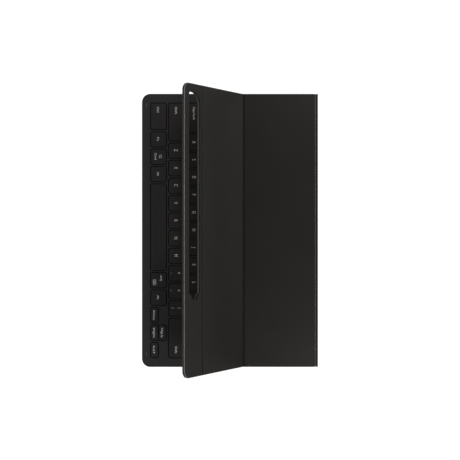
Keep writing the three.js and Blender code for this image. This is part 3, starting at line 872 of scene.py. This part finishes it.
def keys():
    for key, cap in FRONT_CAPS.items():
        body = f"key_{key}"
        piece = make(f"cap_{key}", [cap.shell()], KEYCAP)
        stand_in(mark_edges(piece), body, body)
        shells = print_shells(cap) + (EXTRA_PRINT[key](cap) if key in EXTRA_PRINT else [])
        if shells:
            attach(make(f"legend_{key}", shells, INK_LOOK), body)
    for node, caps in REAR_CAPS.items():
        bars = [homing_bar(cap) for cap in caps if cap.print[0][0] in HOMING_KEYS]
        shells = [cap.shell() for cap in caps] + bars
        piece = make(node.replace("keys", "caps"), shells, KEYCAP)
        stand_in(mark_edges(piece), node, node)
        shells = [shell for cap in caps for shell in print_shells(cap)]
        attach(make(node.replace("keys", "legends"), shells, INK_LOOK), node)


# ---------------------------------------------------------------- cover

REAR_LOW, REAR_HIGH = flat_box("rear_panel_skin", FLAT)
FRONT_LOW, FRONT_HIGH = flat_box("front_panel_skin", RAISED)
FREE_LOW, FREE_HIGH = flat_box("pen_flap_skin", RAISED)
HALF = REAR_HIGH.x
CREASE_HALF = REAR_LOW.y
PANEL_TOP, PANEL_BOTTOM = REAR_HIGH.z, REAR_LOW.z
PAST = 5.0  # how far a cutter reaches past what it cuts


def panel_skin(name, y0, y1, radii, open_ends, extra_cutters=()):
    """Leather wrap of one panel, with a recess for the board and the lining.

    open_ends lists the ends of the panel, "front" or "rear", that run on over a fold and so are cut square.
    """
    grown0 = y0 - (PAST if "front" in open_ends else 0)
    grown1 = y1 + (PAST if "rear" in open_ends else 0)
    at = rounded(-HALF, grown0, HALF, grown1, radii, steps=12)
    slab = plate(at, PANEL_BOTTOM, PANEL_TOP, PANEL_UNDER_ROUND, PANEL_ROUND)
    skin = make(name, [slab], LEATHER)
    ends = []
    wide, low, high = HALF + PAST, PANEL_BOTTOM - PAST, PANEL_TOP + PAST
    if "front" in open_ends:
        ends.append(prism(rounded(-wide, grown0 - PAST, wide, y0, [SQUARE] * 4, 1), low, high))
    if "rear" in open_ends:
        ends.append(prism(rounded(-wide, y1, wide, grown1 + PAST, [SQUARE] * 4, 1), low, high))
    inner = rounded(-HALF, y0, HALF, y1, radii, steps=12)
    board = stack(inner, [(COVER_RIM, PANEL_BOTTOM + LINING), (COVER_RIM, PANEL_TOP - COVER_SKIN)])
    at = lining_outline(y0, y1, radii, open_ends)
    lining = prism(at, PANEL_BOTTOM - 1, PANEL_BOTTOM + LINING + 0.05)
    return carve(skin, ends, [lining], [board], *extra_cutters)


def lining_outline(y0, y1, radii, open_ends):
    """Outline of the lining's recess: inside the rim, but out to the fold at an open end."""
    front = y0 - (0 if "front" in open_ends else -COVER_RIM)
    rear = y1 - (0 if "rear" in open_ends else COVER_RIM)
    tighter = [max(radius - COVER_RIM, 0.05) for radius in radii]
    return rounded(-HALF + COVER_RIM, front, HALF - COVER_RIM, rear, tighter, steps=12)


def panel_lining(name, y0, y1, radii, open_ends):
    """Lining of one panel, with a little play in its recess and a turned edge."""
    play, sunk, turned = 0.1, 0.03, 0.12
    at = lining_outline(y0, y1, radii, open_ends)
    levels = edge_levels(PANEL_BOTTOM, PANEL_BOTTOM + LINING - sunk, turned, 0)
    return make(name, [stack(at, [(inset + play, z) for inset, z in levels])], SUEDE)


def panel(side, place, y0, y1, radii, open_ends, rim_highlight_and_wear=1.0):
    """Leather and lining of the rear or the front panel."""
    body = f"{side}_panel"
    skin = panel_skin(f"{side}_leather", y0, y1, radii, open_ends)
    put(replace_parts(mark_edges(skin, rim_highlight_and_wear=rim_highlight_and_wear), f"{body}_skin"), place, body)
    lining = panel_lining(f"{side}_lining", y0, y1, radii, open_ends)
    put(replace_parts(lining, f"{body}_lining"), place, body)


def pen_flap():
    y0, y1 = FREE_LOW.y, FREE_HIGH.y
    radii = [FREE_CORNER_RADIUS] * 2 + [SQUARE] * 2
    seat = PANEL_TOP - COLLAR_DEPTH
    wide, narrow = -SLOT_COLLAR - 0.02, 0.0
    steps = [(wide, PANEL_BOTTOM - 1), (wide, seat), (narrow, seat), (narrow, PANEL_TOP + 1)]
    skin = panel_skin("flap_leather", y0, y1, radii, ["rear"], [[stack(slot_outline, steps)]])
    # The opening's wall gets painted shade.
    mark_painted_shade(mark_edges(skin), CUT_SHADE, in_slot_wall)
    put(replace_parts(skin, "pen_flap_skin"), RAISED, "pen_flap")
    lining = panel_lining("flap_lining", y0, y1, radii, ["rear"])
    hem = -SLOT_COLLAR - 0.1
    carve(lining, [stack(slot_outline, [(hem, PANEL_BOTTOM - 1), (hem, PANEL_TOP + 1)])])
    put(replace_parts(lining, "pen_flap_lining"), RAISED, "pen_flap")

    low, high, bend = PANEL_BOTTOM + 0.05, seat - 0.02, 0.35
    bent = [(COLLAR_LEDGE - inset, high - depth) for depth, inset in quarter_round(bend)]
    profile = [(-SLOT_COLLAR, high), *bent, (COLLAR_LEDGE, low), (-SLOT_COLLAR, low)]
    collar = make("slot_collar", [stack(slot_outline, profile, looped=True)], COLLAR)
    # The collar's nib end gets no painted highlight.
    mark_painted_shade(mark_edges(collar), 0.0, lambda middle, normal: middle.x > SLOT["shoulder"])
    put(collar, RAISED, "pen_flap")


def in_slot_wall(middle, normal):
    """Whether a face of the pen flap's leather is part of the long opening's wall."""
    upright, near_by = 0.15, 0.3
    across = -SLOT["outer"] - near_by < middle.y < -SLOT["inner"] + near_by
    along = SLOT["start"] - near_by < middle.x < SLOT["tip"] + near_by
    return abs(normal.z) < upright and across and along


def crease_stations(groove, drop, steps=16):
    """Cross-section of a fold between two panels, drawn flat: a thin sheet with a pressed groove outside."""
    depth, flare = groove["depth"], groove["half"] + GROOVE_FLARE
    stations = []
    for i in range(steps + 1):
        y = CREASE_HALF - 2 * CREASE_HALF * i / steps
        dip = depth * max(0.0, 1 - (y / flare) ** 2) ** 2
        rise = math.cos(math.pi / 2 * y / CREASE_HALF) ** 0.6
        inner = PANEL_BOTTOM + (PANEL_TOP - depth - CREASE_SHEET - PANEL_BOTTOM) * rise
        stations.append(((y + drop, PANEL_TOP - dip), (y + drop, inner)))
    return stations


def crease(name, node, groove, drop=0.0):
    """Leather outside and lining inside, in one flexible strip, with a pressed groove that has painted shade
    in its middle.

    drop is the fold's place along Y in the flat frame.
    """
    stations = crease_stations(groove, drop)
    piece = make(name, [ribbon(stations, HALF, PANEL_ROUND, PANEL_UNDER_ROUND)], LEATHER)
    piece.data.materials.append(SUEDE)
    line_inner_side(piece, stations)
    mark_edges(piece, (1, 0, 0))
    middle = stations[len(stations) // 2][0][0]
    half = groove["half"]
    # Painted shade on the middle of the groove.
    mark_painted_shade(piece, groove["shade"], lambda centre, normal: abs(centre.y - middle) < half and normal.z > 0)
    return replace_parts(piece, node)


def line_inner_side(piece, stations):
    """Gives the broad faces of the inner side the lining's material."""
    outers = [Vector((0, *outer)) * MM for outer, _ in stations]
    inners = [Vector((0, *inner)) * MM for _, inner in stations]
    for polygon in piece.data.polygons:
        middle = polygon.center
        broad = abs(middle.x) < (HALF - COVER_RIM) * MM * 0.5
        if not broad or abs(polygon.normal.x) > 0.9:
            continue
        flat = Vector((0, middle.y, middle.z))
        to_inner = min((flat - point).length for point in inners)
        to_outer = min((flat - point).length for point in outers)
        if to_inner < to_outer:
            polygon.material_index = 1


def main_crease():
    """Bent at rest by the fold's full angle, shared out smoothly over the strip's width."""
    piece = crease("main_fold", "main_crease", MAIN_GROOVE)
    for vertex in piece.data.vertices:
        share = min(max((CREASE_HALF - vertex.co.y / MM) / (2 * CREASE_HALF), 0.0), 1.0)
        turn = -FOLD_ANGLE * share * share * (3 - 2 * share)
        vertex.co = FLAT @ (Matrix.Rotation(turn, 3, "X") @ vertex.co)
    finish_mesh(piece)
    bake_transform(piece)


def flap_crease():
    drop = FRONT_LOW.y - CREASE_HALF
    piece = crease("flap_fold", "flap_crease", FLAP_GROOVE, drop)
    piece.data.transform(RAISED)
    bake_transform(piece)


def spine():
    low, high = box("spine_skin")
    outside, skin = high.y, high.y - low.y
    stations = [((outside, z), (outside - skin, z)) for z in (low.z, (low.z + high.z) / 2, high.z)]
    piece = make("spine_leather", [ribbon(stations, HALF, 0.3, 0.1)], LEATHER)
    stand_in(mark_edges(piece, (1, 0, 0)), "spine_skin", "spine")

    low, high = box("spine_board")
    stations = [((high.y, z), (low.y, z)) for z in (low.z, (low.z + high.z) / 2, high.z)]
    liner = make("spine_lining", [ribbon(stations, high.x, 0.1, 0.3)], SUEDE)
    stand_in(liner, "spine_board", "spine")

    lower_spine_fold(outside, skin)
    upper_spine_fold(outside, skin)


def fold_turns(start, steps=10):
    """Angles of a quarter turn from start, in radians."""
    return [start + math.pi / 2 * i / steps for i in range(steps + 1)]


def spine_fold(name, node, stations, begin, diagonal):
    """Leather strip between two bodies, through the given stations. begin and diagonal, given as (y, z), are
    not used.
    """
    piece = make(name, [ribbon(stations, HALF, *FOLD_ROUND)], LEATHER)
    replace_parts(mark_edges(piece, (1, 0, 0)), node)
    diagonal = Vector((0, *diagonal)).normalized()
    begin = Vector((0, *begin)) + diagonal * 0.05
    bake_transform(piece)


def lower_spine_fold(outside, skin):
    """From the keyboard's underside, round the lower hinge, up to the spine."""
    base_low, base_high = box("keyboard_bottom_skin")
    start, axis = base_high.y, LOWER_HINGE
    thick = base_high.z - base_low.z
    across, down = outside - axis.y, axis.z
    stations = [((start, 0.0), (start, thick))]
    for a in fold_turns(-math.pi / 2):
        outer = (axis.y + across * math.cos(a), axis.z + down * math.sin(a))
        inner = (axis.y + (across - skin) * math.cos(a), axis.z + 0.05 * math.sin(a))
        stations.append((outer, inner))
    top = box("spine_skin")[0].z
    stations.append(((outside, top), (outside - skin, top)))
    spine_fold("lower_spine_fold", "spine_lower_crease", stations,
               (start, thick), (1, 1))


def upper_spine_fold(outside, skin):
    """From the spine, round the upper hinge, to the rear panel, lying a little below its surface."""
    rear_low, rear_high = box("rear_panel_skin")
    axis = UPPER_HINGE
    bottom = box("spine_skin")[1].z
    across, up = outside - axis.y, rear_high.z - axis.z - 0.25
    stations = [((outside, bottom), (outside - skin, bottom))]
    for a in fold_turns(0.0):
        outer = (axis.y + across * math.cos(a), axis.z + up * math.sin(a))
        inner = (axis.y + (across - skin) * math.cos(a), axis.z - 0.1 * math.sin(a))
        stations.append((outer, inner))
    edge = rear_high.y
    stations.append(((edge + 0.5, rear_high.z - 0.3), (edge + 0.5, rear_low.z + 1.2)))
    stations.append(((edge, rear_high.z - 0.35), (edge, rear_low.z + 0.3)))
    spine_fold("upper_spine_fold", "spine_upper_crease", stations,
               (outside - skin, bottom), (-1, 1))


# ---------------------------------------------------------------- parts inside

def finish_cad_nodes():
    """Materials for the parts inside, whose shapes come from the frame as they are."""
    looks = {
        ("keyboard_base_plate",): drawn_steel("base_plate_steel", (0.46, 0.47, 0.48), (0.56, 0.57, 0.58)),
        ("space_stabiliser",): drawn_steel("wire_steel", (0.50, 0.50, 0.51), (0.62, 0.62, 0.63)),
        ("membrane_circuit", "flex_cable"): circuit_film(),
        ("dome_sheet",): black_silicone(),
        ("controller_board",): circuit_board(box("controller_board")[0].z + BOARD_THICKNESS),
        ("dock_magnet_left", "dock_magnet_right", "front_panel_magnet_strip"):
            plated("magnet_metal", (0.36, 0.36, 0.38), (0.46, 0.46, 0.48), 0.3),
        ("rear_panel_board", "front_panel_board", "pen_flap_board"): fibre_board(),
    }
    for nodes, material in looks.items():
        for node in nodes:
            mesh = frame["nodes"][node].data
            mesh.materials.clear()
            mesh.materials.append(material)


# ---------------------------------------------------------------- stage

def floor():
    """White paper. It is overexposed for the camera, as a studio sweep is, but gives little light back."""
    look = Look("floor")
    tint = look.clouds(400, 2, (0.36, 0.36, 0.36), (0.38, 0.38, 0.38))
    seen = look.node("LightPath").outputs["Is Camera Ray"]
    glow = look.math("MULTIPLY", seen, FLOOR_GLOW)
    material = look.finish(Base_Color=tint, Roughness=0.9, Specular_IOR_Level=0.1,
                           Emission_Color=rgba(1, 1, 1), Emission_Strength=glow)
    at = rounded(-FLOOR_HALF, -FLOOR_HALF, FLOOR_HALF, FLOOR_HALF, [10] * 4, 2)
    ground = make("floor", [prism(at, -FLOOR_THICKNESS, 0)], material)
    keep_below(ground)


def keep_below(ground):
    """Holds the floor under the cover as well as the keyboard, for when the cover is wrapped underneath."""
    free_edge = RAISED @ (Vector((0, FREE_LOW.y, PANEL_TOP)) * MM)
    ends = {
        "spine": UPPER_HINGE * MM, "rear_panel": FOLD * MM,
        "front_panel": FLAP_FOLD * MM, "pen_flap": free_edge,
    }
    drive = ground.driver_add("location", 2).driver
    for i, (body, place) in enumerate(ends.items()):
        marker = add(f"lowest_{body}", None)
        marker.location = place
        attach(marker, body)
        height = drive.variables.new()
        height.name, height.type = f"end_{i}", "TRANSFORMS"
        height.targets[0].id = marker
        height.targets[0].transform_type = "LOC_Z"
        height.targets[0].transform_space = "WORLD_SPACE"
    lowest = ", ".join(f"end_{i}" for i in range(len(ends)))
    drive.expression = f"min({FLOOR_CLEARANCE}, {lowest}) - {FLOOR_CLEARANCE + FLOOR_GAP}"


def lamp(name, place, size, power):
    """Soft rectangular lamp that faces the origin."""
    data = bpy.data.lights.new(name, "AREA")
    data.shape = "RECTANGLE"
    data.size, data.size_y = size
    data.energy = power
    light = add(name, data)
    light.location = place
    light.rotation_euler = (-Vector(place)).to_track_quat("-Z", "Y").to_euler()


def studio_world():
    """Even surroundings, seen by the camera as the same white as the floor."""
    world = bpy.data.worlds.new("studio")
    world.use_nodes = True
    tree = world.node_tree
    background = tree.nodes["Background"]
    background.inputs["Color"].default_value = rgba(1, 1, 1)
    seen = tree.nodes.new("ShaderNodeLightPath").outputs["Is Camera Ray"]
    strength = tree.nodes.new("ShaderNodeMapRange")
    strength.inputs["To Min"].default_value = WORLD_LIGHT
    strength.inputs["To Max"].default_value = 1.0
    tree.links.new(seen, strength.inputs["Value"])
    tree.links.new(strength.outputs["Result"], background.inputs["Strength"])
    bpy.context.scene.world = world


def stage():
    floor()
    studio_world()
    for name, (place, size, power) in LAMPS.items():
        lamp(name, place, size, power)

    camera = add("camera", bpy.data.cameras.new("camera"))
    camera.data.sensor_width = CAMERA_SENSOR
    camera.data.lens = CAMERA_LENS
    camera.data.clip_start, camera.data.clip_end = CAMERA_CLIP
    camera.location = CAMERA_PLACE
    camera.rotation_euler = (0, 0, math.pi / 2)
    bpy.context.scene.camera = camera
    bpy.context.scene.view_settings.view_transform = "Standard"


keyboard_shells()
dock()
keys()
# The rear panel's rims get a weaker painted highlight and wear.
panel("rear", FLAT, REAR_LOW.y, REAR_HIGH.y, [SQUARE] * 2 + [REAR_CORNER_RADIUS] * 2, ["front"], rim_highlight_and_wear=0.6)
panel("front", RAISED, FRONT_LOW.y, FRONT_HIGH.y, [SQUARE] * 4, ["front", "rear"])
pen_flap()
main_crease()
flap_crease()
spine()
finish_cad_nodes()
stage()
